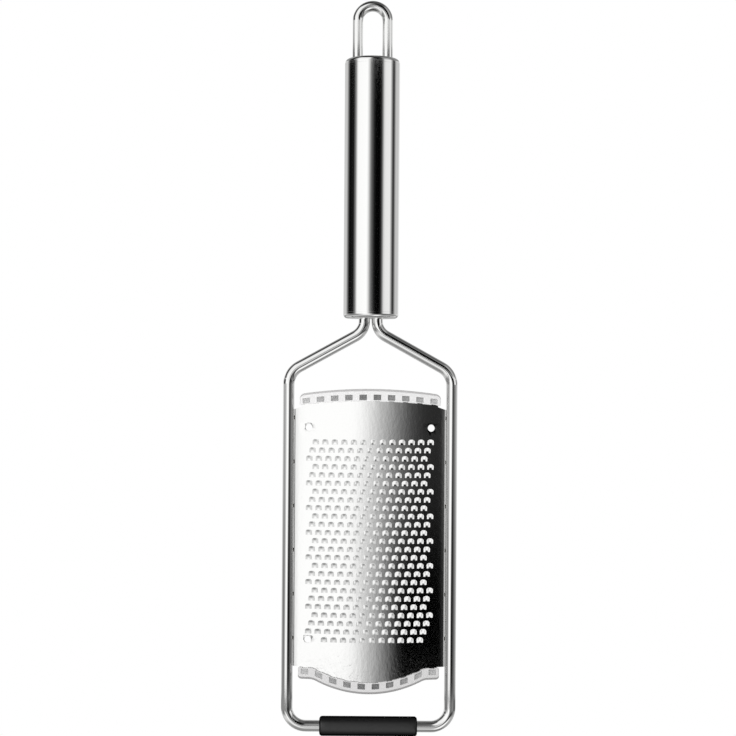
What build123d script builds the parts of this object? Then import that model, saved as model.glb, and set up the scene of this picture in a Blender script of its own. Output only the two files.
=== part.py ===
from build123d import *
from build123d.topology import SkipClean
import math
import os

# A rasp zester, handle up. Millimetres, +Z up along the handle, teeth facing -Y.
# The origin is the inner crown of the hanging loop, where a peg carries the tool.

# Hanging loop: a U of round wire, its legs going down through the top cap.
loop_wire_diameter = 4.4
loop_eye_width = 8.1
loop_exposed_height = 24.7
loop_tail_length = 9.0

# Handle: a thin tube closed by two pressed cups.
handle_diameter = 23.1
handle_length = 108.6
handle_wall = 0.8
cap_edge_radius = 1.7
cap_rim_height = 2.6
cap_thickness = 1.2
cap_spigot_wall = 0.8
cap_spigot_depth = 4.0
cap_fit_clearance = 0.05
wire_hole_clearance = 0.05

# Frame: one continuous wire, both tails inside the handle.
frame_wire_diameter = 4.75
frame_width = 73.2
frame_drop = 171.1
frame_tail_length = 24.0
neck_wire_spacing = 5.3
neck_corner_drop = 5.3
shoulder_slope_degrees = 29.0
neck_bend_radius = 7.3
shoulder_bend_radius = 8.4
corner_bend_radius = 8.0

# Weld metal: rings inside the two caps, spots along the blade's flanges.
weld_bead_leg = 1.3
weld_bead_gap = 0.02
spot_weld_diameter = 1.6
spot_welds_per_side = 6
spot_weld_end_margin = 8.0
spot_weld_setback = 1.2

# Blade: an arched sheet whose two sides bend back into flanges beside the frame wire.
blade_thickness = 0.5
blade_arch_radius = 122.0
blade_crown_height = 5.2
blade_side_gap = 0.15
blade_bend_radius = 0.8
blade_flange_depth = 3.5
blade_shoulder_step = 0.5
blade_shoulder_fall = 1.2
blade_foot_step = 0.3

# Locator holes: two near the upper guard, one beside the last row of teeth.
locator_hole_diameter = 2.9
locator_side_inset = 6.1
upper_locator_drop = 45.75

# Teeth: arched windows, each with a tongue bent forward, its tip towards the handle.
tooth_rows = 25
tooth_row_pitch = 3.44
tooth_column_pitch = 4.0
tooth_side_margin = 6.3
tooth_first_row_drop = 51.8
tooth_window_width = 2.8
tooth_window_height = 2.45
tongue_width = 1.9
tongue_length = 2.0
tongue_thickness = 0.4
tongue_root = 0.3
tongue_sink = 0.05
tongue_tilt_degrees = 18.0
rows_per_stagger = 3

# End guards: clear strips moulded over both ends of the blade.
guard_lip = 0.8
guard_fit_clearance = 0.05
guard_side_inset = 2.3
guard_end_wall = 1.0
guard_edge_wall = 1.2
guard_inner_corner_radius = 0.5
upper_guard_drop = 29.5
upper_guard_width = 5.2
upper_guard_outer_radius = 189.0
upper_guard_inner_radius = 245.0
upper_guard_corner_radius = 2.0
lower_guard_drop = 146.1
lower_guard_width = 4.8
lower_guard_belly_end_run = 6.2
lower_guard_belly_depth = 5.7
lower_guard_blend_radius = 6.0
lower_guard_corner_radius = 1.3

# Guard windows, each over an anchor slot in the blade's hidden margin.
guard_window_count = 10
guard_window_end_margin = 2.85
guard_window_width = 3.1
guard_window_height = 2.3
guard_window_inset = 1.7
guard_notch_width = 2.2
guard_notch_depth = 0.25
anchor_slot_width = 2.4
anchor_slot_height = 0.7

# Rubber sleeve on the bottom bar.
foot_length = 41.0
foot_diameter = 8.3
foot_end_radius = 1.3
foot_bore_clearance = 0.05

# How far cutting tools run past what they cut.
cut_overrun = 2.0

handle_radius = handle_diameter / 2
loop_wire_radius = loop_wire_diameter / 2
frame_wire_radius = frame_wire_diameter / 2

handle_top_z = loop_wire_diameter - loop_exposed_height
handle_bottom_z = handle_top_z - handle_length
frame_bar_z = handle_bottom_z - frame_drop

loop_bend_radius = (loop_eye_width + loop_wire_diameter) / 2
loop_centre_z = -loop_eye_width / 2

frame_half_span = (frame_width - frame_wire_diameter) / 2
neck_half_spacing = neck_wire_spacing / 2
neck_corner_z = handle_bottom_z - neck_corner_drop
shoulder_run = frame_half_span - neck_half_spacing
shoulder_corner_z = neck_corner_z - shoulder_run * math.tan(math.radians(shoulder_slope_degrees))

blade_half_width = frame_half_span - frame_wire_radius - blade_side_gap
blade_crown_y = -blade_crown_height
arch_centre_y = blade_crown_y + blade_arch_radius
blade_edge_y = arch_centre_y - math.sqrt(blade_arch_radius ** 2 - blade_half_width ** 2)
blade_flange_y = blade_edge_y + blade_flange_depth
locator_hole_offset = blade_half_width - locator_side_inset

guard_half_length = blade_half_width - guard_side_inset
guard_window_pitch = 2 * (guard_half_length - guard_window_end_margin) / (guard_window_count - 1)
blade_tab_half_width = guard_half_length - guard_end_wall
lower_guard_belly_half = guard_half_length - lower_guard_belly_end_run
lower_guard_belly_radius = (lower_guard_belly_half ** 2 + lower_guard_belly_depth ** 2) / (
    2 * lower_guard_belly_depth
)

upper_guard_outer_z = handle_bottom_z - upper_guard_drop
upper_guard_inner_z = upper_guard_outer_z - upper_guard_width
lower_guard_inner_z = handle_bottom_z - lower_guard_drop
lower_guard_outer_z = lower_guard_inner_z - lower_guard_width
upper_locator_z = handle_bottom_z - upper_locator_drop
first_row_z = handle_bottom_z - tooth_first_row_drop
last_row_z = first_row_z - (tooth_rows - 1) * tooth_row_pitch

tooth_stagger = tooth_column_pitch / rows_per_stagger
tooth_field_width = 2 * (blade_half_width - tooth_side_margin)
tooth_columns = 1 + int((tooth_field_width - (rows_per_stagger - 1) * tooth_stagger) / tooth_column_pitch)


def arch_fall(x, radius):
    """How far a circle of this radius has fallen away from its crown at x."""
    return radius - math.sqrt(radius ** 2 - x ** 2)


def round_wire(path, diameter):
    """A round wire swept along a path from its first point."""
    section = path_start_plane(path) * Circle(diameter / 2)
    return sweep(section, path=path)


def path_start_plane(path):
    return Plane(origin=path @ 0, z_dir=path % 0)


def fillet_corners(face, corners, radius):
    """Round the corners of a face that lie nearest to the given points."""
    chosen = [min(face.vertices(), key=lambda v: (Vector(v) - Vector(*corner)).length) for corner in corners]
    return fillet(chosen, radius)


def through_y(face):
    """Run a face drawn in X and Z through the whole depth of the tool."""
    return extrude(Plane.XZ * face, amount=handle_diameter, both=True)


def hanging_loop():
    tail_z = handle_top_z - loop_tail_length
    left_leg = Line((-loop_bend_radius, 0, tail_z), (-loop_bend_radius, 0, loop_centre_z))
    crown = ThreePointArc(
        (-loop_bend_radius, 0, loop_centre_z),
        (0, 0, loop_centre_z + loop_bend_radius),
        (loop_bend_radius, 0, loop_centre_z),
    )
    right_leg = Line((loop_bend_radius, 0, loop_centre_z), (loop_bend_radius, 0, tail_z))
    return round_wire(Wire([*left_leg.edges(), *crown.edges(), *right_leg.edges()]), loop_wire_diameter)


def frame_wire():
    tail_z = handle_bottom_z + frame_tail_length
    right_half = [
        (frame_half_span, 0, frame_bar_z),
        (frame_half_span, 0, shoulder_corner_z),
        (neck_half_spacing, 0, neck_corner_z),
        (neck_half_spacing, 0, tail_z),
    ]
    left_half = [(-x, y, z) for x, y, z in reversed(right_half)]
    right_radii = [corner_bend_radius, shoulder_bend_radius, neck_bend_radius]
    route = FilletPolyline(*left_half, *right_half, radius=[*reversed(right_radii), *right_radii])
    return round_wire(route, frame_wire_diameter)


def handle_tube():
    tube_length = handle_length - 2 * cap_rim_height
    bore_radius = handle_radius - handle_wall
    wall = Circle(handle_radius) - Circle(bore_radius)
    return Pos(0, 0, handle_bottom_z + cap_rim_height) * extrude(wall, amount=tube_length)


def blank_cap():
    """A pressed cup with its outer face at zero height and its spigot pointing down."""
    spigot_radius = handle_radius - handle_wall - cap_fit_clearance
    cavity_radius = spigot_radius - cap_spigot_wall
    depth = cap_rim_height + cap_spigot_depth
    rim = extrude(Circle(handle_radius), amount=-cap_rim_height)
    rim = fillet(rim.edges().sort_by(Axis.Z)[-1], cap_edge_radius)
    spigot = Pos(0, 0, -cap_rim_height) * extrude(Circle(spigot_radius), amount=-cap_spigot_depth)
    cavity = Pos(0, 0, -cap_thickness) * extrude(Circle(cavity_radius), amount=-depth)
    return rim + spigot - cavity


def handle_top_cap():
    hole = Circle(loop_wire_radius + wire_hole_clearance)
    holes = Pos(-loop_bend_radius, 0) * hole + Pos(loop_bend_radius, 0) * hole
    cap = blank_cap() - extrude(holes, amount=cap_rim_height, both=True)
    return Pos(0, 0, handle_top_z) * cap


def handle_bottom_cap():
    slot_width = frame_wire_diameter + 2 * wire_hole_clearance
    slot = SlotCenterToCenter(neck_wire_spacing, slot_width)
    cap = blank_cap() - extrude(slot, amount=cap_rim_height, both=True)
    return Pos(0, 0, handle_bottom_z) * Rot(180, 0, 0) * cap


def weld_bead(outline, wire_sections, inner_face_z, away):
    """A fillet of weld metal round wires, thickest where it meets the cap's inner face."""
    bead = extrude(outline, amount=weld_bead_leg, taper=45) - extrude(wire_sections, amount=weld_bead_leg)
    turn = Rot(0, 0, 0) if away > 0 else Rot(180, 0, 0)
    return Pos(0, 0, inner_face_z) * turn * bead


def loop_weld_beads():
    outline = Circle(loop_wire_radius + weld_bead_leg)
    wire_section = Circle(loop_wire_radius + weld_bead_gap)
    bead = weld_bead(outline, wire_section, handle_top_z - cap_thickness, -1)
    return Compound([Pos(-loop_bend_radius, 0, 0) * bead.solid(), Pos(loop_bend_radius, 0, 0) * bead.solid()])


def frame_weld_bead():
    outline = SlotCenterToCenter(neck_wire_spacing, frame_wire_diameter + 2 * weld_bead_leg)
    wire_section = Circle(frame_wire_radius + weld_bead_gap)
    both_wires = Pos(-neck_half_spacing, 0) * wire_section + Pos(neck_half_spacing, 0) * wire_section
    return weld_bead(outline, both_wires, handle_bottom_z + cap_thickness, 1)


def arched_layer(front_y, depth):
    """The layer between two arcs that share the blade's arch centre, over the whole blade."""
    front = Pos(0, arch_centre_y) * Circle(arch_centre_y - front_y)
    back = Pos(0, arch_centre_y) * Circle(arch_centre_y - front_y - depth)
    reach = blade_half_width + cut_overrun
    window = Pos(0, arch_centre_y / 2 - handle_radius) * Rectangle(2 * reach, arch_centre_y)
    height = upper_guard_outer_z - lower_guard_outer_z + 2 * handle_radius
    layer = extrude((front - back) & window, amount=height)
    return Pos(0, 0, upper_guard_outer_z + handle_radius - height) * layer


def blade_section():
    """Arch and two side flanges, seen along the handle."""
    outside = Pos(0, arch_centre_y) * Circle(blade_arch_radius)
    outside &= Pos(0, (blade_flange_y + blade_crown_y) / 2) * Rectangle(
        2 * blade_half_width, blade_flange_y - blade_crown_y
    )
    outer_corners = [(-blade_half_width, blade_edge_y), (blade_half_width, blade_edge_y)]
    outside = fillet_corners(outside, outer_corners, blade_bend_radius)
    inner_half_width = blade_half_width - blade_thickness
    inner_radius = blade_arch_radius - blade_thickness
    inner_back_y = blade_flange_y + cut_overrun
    inner_crown_y = blade_crown_y + blade_thickness
    inside = Pos(0, arch_centre_y) * Circle(inner_radius)
    inside &= Pos(0, (inner_back_y + inner_crown_y) / 2) * Rectangle(
        2 * inner_half_width, inner_back_y - inner_crown_y
    )
    inner_edge_y = inner_crown_y + arch_fall(inner_half_width, inner_radius)
    inner_corners = [(-inner_half_width, inner_edge_y), (inner_half_width, inner_edge_y)]
    inside = fillet_corners(inside, inner_corners, blade_bend_radius - blade_thickness)
    return outside - inside


def upper_tab(grow):
    """The blade's upper margin inside the guard, grown by a clearance for the guard's slot."""
    half = blade_tab_half_width + grow
    crown_z = upper_guard_outer_z - guard_edge_wall + grow
    side_z = crown_z - arch_fall(half, upper_guard_outer_radius)
    root_z = upper_guard_inner_z - lower_guard_belly_depth
    edge = ThreePointArc((-half, side_z), (0, crown_z), (half, side_z))
    return make_face(edge + Polyline((half, side_z), (half, root_z), (-half, root_z), (-half, side_z)))


def belly_line(half, flat_z):
    """A level line with a round belly in its middle, from left to right."""
    reach = lower_guard_belly_half
    belly = ThreePointArc((-reach, flat_z), (0, flat_z - lower_guard_belly_depth), (reach, flat_z))
    return Line((-half, flat_z), (-reach, flat_z)) + belly + Line((reach, flat_z), (half, flat_z))


def blend_belly(face, flat_z):
    """Round the two corners where the belly leaves the level line."""
    reach = lower_guard_belly_half
    return fillet_corners(face, [(-reach, flat_z), (reach, flat_z)], lower_guard_blend_radius)


def lower_tab(grow):
    """The blade's lower margin inside the guard, grown by a clearance for the guard's slot."""
    half = blade_tab_half_width + grow
    flat_z = lower_guard_outer_z + guard_edge_wall - grow
    root_z = lower_guard_inner_z + lower_guard_width
    sides = Polyline((half, flat_z), (half, root_z), (-half, root_z), (-half, flat_z))
    return blend_belly(make_face(belly_line(half, flat_z) + sides), flat_z)


def upper_inner_edge_z(x):
    return upper_guard_inner_z - arch_fall(x, upper_guard_inner_radius)


def lower_inner_edge_z(x):
    """Height of the lower guard's inner edge, following the belly but not its blends."""
    belly_centre_z = lower_guard_inner_z - lower_guard_belly_depth + lower_guard_belly_radius
    if abs(x) >= lower_guard_belly_radius:
        return lower_guard_inner_z
    belly_z = belly_centre_z - math.sqrt(lower_guard_belly_radius ** 2 - x ** 2)
    return min(lower_guard_inner_z, belly_z)


def guard_window_places():
    """X of each guard window, from left to right."""
    first = -(guard_window_count - 1) * guard_window_pitch / 2
    return [first + index * guard_window_pitch for index in range(guard_window_count)]


def blade_plan():
    """The blade's outline seen from the front, with both hidden margins."""
    shoulder_z = upper_inner_edge_z(guard_half_length) - blade_shoulder_step
    side_z = shoulder_z - blade_shoulder_fall
    foot_z = lower_guard_inner_z + blade_foot_step
    body = Polyline(
        (-blade_half_width, foot_z),
        (blade_half_width, foot_z),
        (blade_half_width, side_z),
        (blade_tab_half_width, shoulder_z),
        (-blade_tab_half_width, shoulder_z),
        (-blade_half_width, side_z),
        (-blade_half_width, foot_z),
    )
    return make_face(body) + upper_tab(0) + lower_tab(0)


def on_sheet(x, z):
    """The place on the blade's front face at x and z, with local -Y along its outward normal."""
    lean = math.degrees(math.asin(x / blade_arch_radius))
    return Pos(x, blade_crown_y + arch_fall(x, blade_arch_radius), z) * Rot(0, 0, lean)


def row_z(row):
    return first_row_z - row * tooth_row_pitch


def tooth_places(row):
    """Centre of each tooth's base edge in a row. Each row steps left by a third of a column."""
    widest_row = (tooth_columns - 1) * tooth_column_pitch + (rows_per_stagger - 1) * tooth_stagger
    right_x = widest_row / 2 - (row % rows_per_stagger) * tooth_stagger
    columns = range(tooth_columns)
    if row == tooth_rows - 1:
        columns = range(1, tooth_columns - 1)
    base_z = row_z(row) - tooth_window_height / 2
    return [on_sheet(right_x - column * tooth_column_pitch, base_z) for column in columns]


def arched_face(width, height, root):
    """A round-headed shape standing on zero height, with a root below it."""
    radius = width / 2
    head = CenterArc((0, height - radius), radius, 0, 180)
    sides = Polyline((-radius, height - radius), (-radius, -root), (radius, -root), (radius, height - radius))
    return make_face(head + sides)


def tooth_window():
    face = arched_face(tooth_window_width, tooth_window_height, 0)
    return extrude(Plane.XZ * face, amount=cut_overrun, both=True)


def tooth_tongue():
    face = arched_face(tongue_width, tongue_length, tongue_root)
    plate = extrude(Plane.XZ * face, amount=-tongue_thickness)
    return Pos(0, tongue_sink, 0) * Rot(tongue_tilt_degrees, 0, 0) * plate


def blade_holes():
    """Locator holes and anchor slots, as tools that cut through the sheet."""
    locator = Plane.XZ * Circle(locator_hole_diameter / 2)
    locator_tool = extrude(locator, amount=cut_overrun, both=True)
    slot = Plane.XZ * Rectangle(anchor_slot_width, anchor_slot_height)
    slot_tool = extrude(slot, amount=cut_overrun, both=True)
    tools = [
        on_sheet(-locator_hole_offset, upper_locator_z) * locator_tool,
        on_sheet(locator_hole_offset, upper_locator_z) * locator_tool,
        on_sheet(-locator_hole_offset, last_row_z) * locator_tool,
    ]
    for x in guard_window_places():
        tools.append(on_sheet(x, upper_inner_edge_z(x) + guard_window_inset) * slot_tool)
        tools.append(on_sheet(x, lower_inner_edge_z(x) - guard_window_inset) * slot_tool)
    return tools


def blade():
    """One strip a row of teeth, joined with their seams kept, so that no face has all the windows."""
    top_z = upper_guard_outer_z
    height = upper_guard_outer_z - lower_guard_outer_z + lower_guard_belly_depth
    bent_sheet = Pos(0, 0, top_z - height) * extrude(blade_section(), amount=height)
    sheet = (bent_sheet & through_y(blade_plan())).solid().cut(*blade_holes()).solid()
    window = tooth_window()
    tongue = tooth_tongue()
    section = Rectangle(2 * handle_radius + frame_width, 2 * handle_radius)
    seams = [row_z(row) + tooth_row_pitch / 2 for row in range(tooth_rows + 1)]
    levels = [top_z, *seams, top_z - height]
    strips = []
    for level, (high_z, low_z) in enumerate(zip(levels, levels[1:])):
        strip = (sheet & Pos(0, 0, low_z) * extrude(section, amount=high_z - low_z)).solid()
        row = level - 1
        if row in range(tooth_rows):
            places = tooth_places(row)
            strip = strip.cut(*[place * window for place in places]).solid()
            strip = strip.fuse(*[(place * tongue).solid() for place in places]).solid()
        strips.append(strip)
    with SkipClean():
        return strips[0].fuse(*strips[1:])


def blade_spot_welds():
    """Weld spots along each flange, running from its outer face to the wire, behind the wire's middle."""
    top_z = upper_locator_z + spot_weld_end_margin / 2
    bottom_z = last_row_z
    step = (top_z - bottom_z) / (spot_welds_per_side - 1)
    welds = []
    wire = frame_wire()
    for side in (-1, 1):
        for index in range(spot_welds_per_side):
            spot = Cylinder(spot_weld_diameter / 2, frame_wire_radius)
            across = Rot(0, 90, 0) * spot
            x = side * (blade_half_width + frame_wire_radius / 2)
            weld = Pos(x, spot_weld_setback, top_z - index * step) * across - wire
            welds.append(weld.solids().sort_by(Axis.X)[0 if side > 0 else -1])
    return Compound(welds)


def guard_from(outline, slot_outline, window_z, notch_z):
    """An arched strip with a slot for the blade's margin, windows and edge notches in its front."""
    front_y = blade_crown_y - guard_lip
    strip = arched_layer(front_y, blade_thickness + 2 * guard_lip) & through_y(outline)
    slot_y = blade_crown_y - guard_fit_clearance
    slot = arched_layer(slot_y, blade_thickness + 2 * guard_fit_clearance) & through_y(slot_outline)
    window = Plane.XZ * RectangleRounded(guard_window_width, guard_window_height, guard_notch_depth)
    notch = Plane.XZ * Rectangle(guard_notch_width, 2 * guard_notch_depth)
    reach = guard_lip + cut_overrun
    tools = [slot.solid()]
    for x in guard_window_places():
        tools.append(on_sheet(x, window_z(x)) * extrude(window, amount=reach))
        tools.append(on_sheet(x, notch_z(x)) * extrude(notch, amount=reach))
    return strip.solid().cut(*tools)


def upper_end_guard():
    half = guard_half_length
    outer_side_z = upper_guard_outer_z - arch_fall(half, upper_guard_outer_radius)
    inner_side_z = upper_inner_edge_z(half)
    outer = ThreePointArc((-half, outer_side_z), (0, upper_guard_outer_z), (half, outer_side_z))
    inner = ThreePointArc((half, inner_side_z), (0, upper_guard_inner_z), (-half, inner_side_z))
    ends = Line((half, outer_side_z), (half, inner_side_z)) + Line((-half, inner_side_z), (-half, outer_side_z))
    outline = make_face(outer + inner + ends)
    outer_corners = [(-half, outer_side_z), (half, outer_side_z)]
    outline = fillet_corners(outline, outer_corners, upper_guard_corner_radius)
    outline = fillet_corners(outline, [(-half, inner_side_z), (half, inner_side_z)], guard_inner_corner_radius)
    return guard_from(
        outline,
        upper_tab(guard_fit_clearance),
        lambda x: upper_inner_edge_z(x) + guard_window_inset,
        upper_inner_edge_z,
    )


def lower_end_guard():
    half = guard_half_length
    inner = belly_line(half, lower_guard_inner_z)
    outer = belly_line(half, lower_guard_outer_z)
    ends = Line((half, lower_guard_outer_z), (half, lower_guard_inner_z))
    ends += Line((-half, lower_guard_inner_z), (-half, lower_guard_outer_z))
    outline = make_face(inner + outer + ends)
    outline = blend_belly(outline, lower_guard_inner_z)
    outline = blend_belly(outline, lower_guard_outer_z)
    outer_corners = [(-half, lower_guard_outer_z), (half, lower_guard_outer_z)]
    inner_corners = [(-half, lower_guard_inner_z), (half, lower_guard_inner_z)]
    outline = fillet_corners(outline, outer_corners, lower_guard_corner_radius)
    outline = fillet_corners(outline, inner_corners, guard_inner_corner_radius)
    return guard_from(
        outline,
        lower_tab(guard_fit_clearance),
        lambda x: lower_inner_edge_z(x) - guard_window_inset,
        lower_inner_edge_z,
    )


def rubber_foot():
    sleeve = Cylinder(foot_diameter / 2, foot_length)
    sleeve = fillet(sleeve.edges().filter_by(GeomType.CIRCLE), foot_end_radius)
    sleeve -= Cylinder(frame_wire_radius + foot_bore_clearance, foot_length)
    return Pos(0, 0, frame_bar_z) * Rot(0, 90, 0) * sleeve


sub_parts = {
    "hanging_loop": hanging_loop,
    "handle_tube": handle_tube,
    "handle_top_cap": handle_top_cap,
    "handle_bottom_cap": handle_bottom_cap,
    "loop_weld_beads": loop_weld_beads,
    "frame_weld_bead": frame_weld_bead,
    "frame_wire": frame_wire,
    "blade": blade,
    "blade_spot_welds": blade_spot_welds,
    "upper_end_guard": upper_end_guard,
    "lower_end_guard": lower_end_guard,
    "rubber_foot": rubber_foot,
}

os.makedirs("parts", exist_ok=True)
for name, make in sub_parts.items():
    export_step(make(), f"parts/{name}.step")
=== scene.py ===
import math

import bpy
from mathutils import Matrix, Vector
from mathutils.geometry import delaunay_2d_cdt


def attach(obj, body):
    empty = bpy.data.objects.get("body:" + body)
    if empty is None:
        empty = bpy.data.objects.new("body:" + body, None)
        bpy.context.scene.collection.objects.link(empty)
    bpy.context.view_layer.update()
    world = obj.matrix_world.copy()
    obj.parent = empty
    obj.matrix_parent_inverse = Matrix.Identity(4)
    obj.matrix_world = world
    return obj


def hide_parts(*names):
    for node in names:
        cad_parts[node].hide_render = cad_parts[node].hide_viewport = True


# A rasp zester that hangs handle up. The frame is in metres, the sizes here are in millimetres.
# +Z runs up the handle, the teeth face -Y, and the origin is the inner crown of the hanging loop.
MM = 0.001

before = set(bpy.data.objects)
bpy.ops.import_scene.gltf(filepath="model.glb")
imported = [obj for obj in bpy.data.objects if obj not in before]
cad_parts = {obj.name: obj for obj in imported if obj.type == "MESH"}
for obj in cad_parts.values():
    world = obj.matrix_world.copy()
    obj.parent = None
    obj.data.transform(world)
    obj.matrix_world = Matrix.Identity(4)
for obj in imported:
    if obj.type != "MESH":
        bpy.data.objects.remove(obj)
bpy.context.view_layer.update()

# Hanging loop
loop_wire = 4.4
loop_eye = 8.1
loop_bend = (loop_eye + loop_wire) / 2
loop_centre_z = -loop_eye / 2
loop_tail = 9.0

# Handle and its two pressed cups
handle_radius = 11.55
handle_top_z = -20.3
handle_bottom_z = -128.9
handle_wall = 0.8
cup_rim = 2.6
cup_edge = 1.7
cup_plate = 1.2
cup_lip = 0.15
cup_spigot_radius = 10.7
cup_spigot_wall = 0.8
cup_spigot_depth = 4.0
seam_ease = 0.02
wire_fit = 0.05
loop_bore = loop_wire / 2 + wire_fit

# Frame wire
frame_wire_size = 4.75
frame_half_span = 34.225
frame_bar_z = -300.0
frame_tail_z = handle_bottom_z + 24.0
neck_half_spacing = 2.65
neck_corner_z = -134.2
neck_bore = frame_wire_size / 2 + wire_fit
shoulder_slope = 29.0
shoulder_run = frame_half_span - neck_half_spacing
shoulder_corner_z = neck_corner_z - shoulder_run * math.tan(math.radians(shoulder_slope))
neck_bend, shoulder_bend, corner_bend = 7.3, 8.4, 8.0
wire_end_edge = 0.4

# Blade
sheet_thickness = 0.5
arch_radius = 122.0
crown_y = -5.2
arch_centre_y = crown_y + arch_radius
blade_half_width = 31.70
side_bend = 0.8
flange_back_y = 2.5
tab_half_width = 28.4
shoulder_step = 0.5
shoulder_fall = 1.2
foot_step = 0.3

# Teeth
tooth_rows = 25
tooth_columns = 13
row_pitch = 3.44
column_pitch = 4.0
rows_per_stagger = 3
stagger = column_pitch / rows_per_stagger
first_row_z = -180.7
last_row_z = first_row_z - (tooth_rows - 1) * row_pitch
tooth_half_width = 1.29
tooth_crown = 1.2
tooth_foot = -1.0
tooth_roundness = 2.4
tooth_gap = 0.05
tooth_tip_thickness = 0.14
# How steeply a tooth climbs out of the sheet: height above the row's middle, and degrees
slopes_at_centre = [(-1.0, 8.0), (-0.55, 10.2), (0.0, 12.8), (0.3, 22.0), (0.9, 23.0), (1.2, 21.0)]
slopes_at_side = [(-1.0, 17.5), (0.0, 17.5), (1.2, 20.0)]
dish_inner, dish_outer = 0.35, 1.0

# Locator holes and the anchor slots under the guards
locator_radius = 1.45
locator_x = 25.6
locator_z = -174.65
locator_sink, left_locator_sink, locator_sink_width = 0.05, 0.11, 0.35
anchor_width, anchor_height = 2.4, 0.7

# End guards
guard_half = 29.4
guard_lip = 0.8
guard_fit = 0.05
guard_end_wall = 1.0
guard_edge_wall = 1.2
guard_film = 0.12
# Width of the band of painted shade along a guard's outer rim
guard_rim_shade_width = 0.9
guard_round = 0.6
guard_round_share = 0.7
guard_bevel = 0.1
upper_guard_z = -158.4
upper_guard_width = 5.2
upper_outer_arc, upper_inner_arc = 189.0, 245.0
upper_corner = 2.0
lower_guard_z = -275.0
lower_guard_width = 4.8
lower_corner = 1.3
inner_corner = 0.5
belly_radius, belly_depth, belly_blend = 50.064, 5.7, 6.0
window_count, window_pitch = 10, 5.9
window_width, window_height, window_inset = 3.1, 2.3, 1.7
window_places = [(i - (window_count - 1) / 2) * window_pitch for i in range(window_count)]
notch_width, notch_depth = 2.2, 0.25

# Rubber foot on the bottom bar
foot_length = 41.0
foot_radius = 4.15
foot_edge = 1.3
foot_bore = frame_wire_size / 2 + wire_fit
foot_bore_ease = 0.1

# How finely the meshes and the sheet's cells are divided
turned_count, foot_count, wire_count = 128, 72, 40
cell_columns, cell_levels = 6, 5
cell_step = column_pitch / cell_columns


# Colour and node helpers

def linear(code):
    """An sRGB hex colour as linear RGBA."""
    channels = [int(code[i:i + 2], 16) / 255 for i in (1, 3, 5)]
    return tuple(c / 12.92 if c <= 0.04045 else ((c + 0.055) / 1.055) ** 2.4 for c in channels) + (1.0,)


def new_tree(owner):
    """The emptied node tree of a material or world."""
    owner.use_nodes = True
    owner.node_tree.nodes.clear()
    return owner.node_tree


def add_node(tree, kind, settings=None, inputs=None):
    """Adds a node, sets its properties and fills its sockets with values or links."""
    node = tree.nodes.new(kind)
    for name, value in (settings or {}).items():
        setattr(node, name, value)
    for name, value in (inputs or {}).items():
        socket = node.inputs[name]
        if isinstance(value, bpy.types.NodeSocket):
            tree.links.new(value, socket)
        else:
            socket.default_value = value
    return node


def remap(tree, value, source, target=(0.0, 1.0), kind="LINEAR"):
    """A value carried from one range to another."""
    node = add_node(tree, "ShaderNodeMapRange", {"interpolation_type": kind}, {
        "Value": value,
        "From Min": source[0], "From Max": source[1], "To Min": target[0], "To Max": target[1],
    })
    return node.outputs[0]


def colour_ramp(tree, factor, stops):
    """A colour ramp from pairs of place and sRGB hex colour."""
    node = add_node(tree, "ShaderNodeValToRGB", inputs={"Fac": factor})
    elements = node.color_ramp.elements
    elements.remove(elements[-1])
    for index, (place, code) in enumerate(stops):
        element = elements[0] if index == 0 else elements.new(place)
        element.position = place
        element.color = linear(code)
    return node.outputs["Color"]


def new_object(name, data):
    """A new object, linked to the scene."""
    made = bpy.data.objects.new(name, data)
    bpy.context.scene.collection.objects.link(made)
    return made


# Mesh helpers

def place_piece(name, points, faces, corner_maps, material, slot, nodes, sharp_degrees=35.0):
    """Makes a mesh piece from points in millimetres, with an optional map in millimetres for its grain."""
    mesh = bpy.data.meshes.new(name)
    mesh.from_pydata([(x * MM, y * MM, z * MM) for x, y, z in points], [], faces)
    if corner_maps:
        layer = mesh.uv_layers.new(name="grain")
        flat = [value for corners in corner_maps for pair in corners for value in pair]
        layer.data.foreach_set("uv", flat)
    mesh.polygons.foreach_set("use_smooth", [True] * len(mesh.polygons))
    mesh.update()
    mesh.set_sharp_from_angle(angle=math.radians(sharp_degrees))
    mesh.materials.append(material)
    piece = new_object(name, mesh)
    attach(piece, "root")
    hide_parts(*nodes)
    return piece


def even(start, end, count):
    """Values from start to end in equal steps."""
    return [start + (end - start) * i / count for i in range(count + 1)]


def middle(values, i):
    """Halfway between a value and the next."""
    return (values[i] + values[i + 1]) / 2


def run_lengths(points):
    """How far along a line each of its points lies."""
    found = [0.0]
    for a, b in zip(points, points[1:]):
        found.append(found[-1] + math.dist(a, b))
    return found


def away(point, turn, length):
    """The point that lies length away from another, in the direction of turn."""
    return point[0] + length * math.cos(turn), point[1] + length * math.sin(turn)


def edge_arc(centre, radius, start, end, steps):
    """Points of an arc, angles in degrees from the outward direction."""
    return [away(centre, math.radians(turn), radius) for turn in even(start, end, steps)]


def circle(x, z, radius, count):
    """Points round a circle."""
    return edge_arc((x, z), radius, 0, 360, count)[:-1]


def stadium(half_spacing, radius, steps):
    """A long round-ended loop along X, centred on the axis."""
    right = edge_arc((half_spacing, 0), radius, -90, 90, steps)
    return right + [(-x, -z) for x, z in right]


def skin(rings, around, along, closed=False, caps=False):
    """Quads between rings of equal count. around and along give the grain map in millimetres."""
    count = len(rings[0])
    points = [p for ring in rings for p in ring]
    faces, maps = [], []
    for i in range(len(rings) if closed else len(rings) - 1):
        upper = (i + 1) % len(rings)
        low, high = along[i], along[i + 1]
        for j in range(count):
            k = (j + 1) % count
            faces.append((i * count + j, i * count + k, upper * count + k, upper * count + j))
            left, right = around * j / count, around * (j + 1) / count
            maps.append(((left, low), (right, low), (right, high), (left, high)))
    if caps:
        last = (len(rings) - 1) * count
        faces += [tuple(reversed(range(count))), tuple(range(last, last + count))]
        maps += [((0.0, 0.0),) * count] * 2
    return points, faces, maps


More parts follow.
